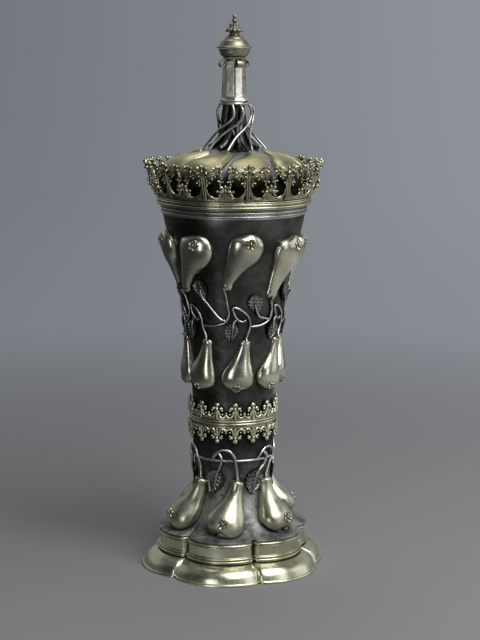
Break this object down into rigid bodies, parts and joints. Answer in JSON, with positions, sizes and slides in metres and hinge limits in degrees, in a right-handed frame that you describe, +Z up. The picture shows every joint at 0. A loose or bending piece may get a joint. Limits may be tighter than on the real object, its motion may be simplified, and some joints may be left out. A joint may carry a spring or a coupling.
{
  "type": "covered beaker",
  "caption": "Tall parcel-gilt silver covered beaker: lobed foot, flaring cup with relief pears on twigs, lift-off domed cover with pierced crown and pillar finial.",
  "frame": {"origin": "middle of the ground plane that the foot stands on", "axes": "+Z up along the beaker's axis, -Y towards the front of the picture's view"},
  "size_m": [0.12, 0.122, 0.36],
  "materials": {
    "gilt": "worn pale gilding, polished on the high places, brown tarnish in the recesses",
    "dark_silver": "darkly tarnished silver ground, satin, with faint planishing",
    "bright_silver": "rubbed bright silver wire and mouldings with grey tarnish in the grooves"
  },
  "bodies": {
    "beaker": {"foot_flange": "gilt", "foot_lower_moulding": "gilt", "foot_riser": "gilt", "foot_upper_moulding": "gilt", "foot_trumpet": "dark_silver", "foot_pear_1": "gilt", "foot_pear_2": "gilt", "foot_pear_3": "gilt", "foot_pear_4": "gilt", "foot_pear_5": "gilt", "foot_pear_6": "gilt", "foot_garland": "bright_silver", "waist_ring": "gilt", "waist_cresting_upper": "gilt", "waist_cresting_lower": "gilt", "beaker_body": "dark_silver", "lower_pear_1": "gilt", "lower_pear_2": "gilt", "lower_pear_3": "gilt", "lower_pear_4": "gilt", "lower_pear_5": "gilt", "lower_pear_6": "gilt", "lower_pear_7": "gilt", "lower_pear_8": "gilt", "upper_pear_1": "gilt", "upper_pear_2": "gilt", "upper_pear_3": "gilt", "upper_pear_4": "gilt", "upper_pear_5": "gilt", "upper_pear_6": "gilt", "upper_pear_7": "gilt", "upper_pear_8": "gilt", "sprig_1": "bright_silver", "sprig_2": "bright_silver", "sprig_3": "bright_silver", "sprig_4": "bright_silver", "sprig_5": "bright_silver", "sprig_6": "bright_silver", "sprig_7": "bright_silver", "sprig_8": "bright_silver", "lip_moulding": "bright_silver"},
    "cover": {"cover_ring": "gilt", "cover_bezel": "bright_silver", "crown_cresting": "gilt", "cover_dome": "dark_silver", "cover_pear_1": "gilt", "cover_pear_2": "gilt", "cover_pear_3": "gilt", "cover_pear_4": "gilt", "cover_pear_5": "gilt", "cover_pear_6": "gilt", "cover_pear_7": "gilt", "cover_pear_8": "gilt", "finial_trunk": "dark_silver", "finial_stems": "bright_silver", "finial_pillar": "bright_silver", "scroll_cap": "gilt", "knop_lower": "gilt", "knop_upper": "gilt", "finial_spire": "gilt"}
  },
  "joints": [
    {"name": "cover_lift", "type": "slide", "parent": "beaker", "child": "cover", "axis": [0, 0, 1], "range_m": [0, 0.12]}
  ]
}
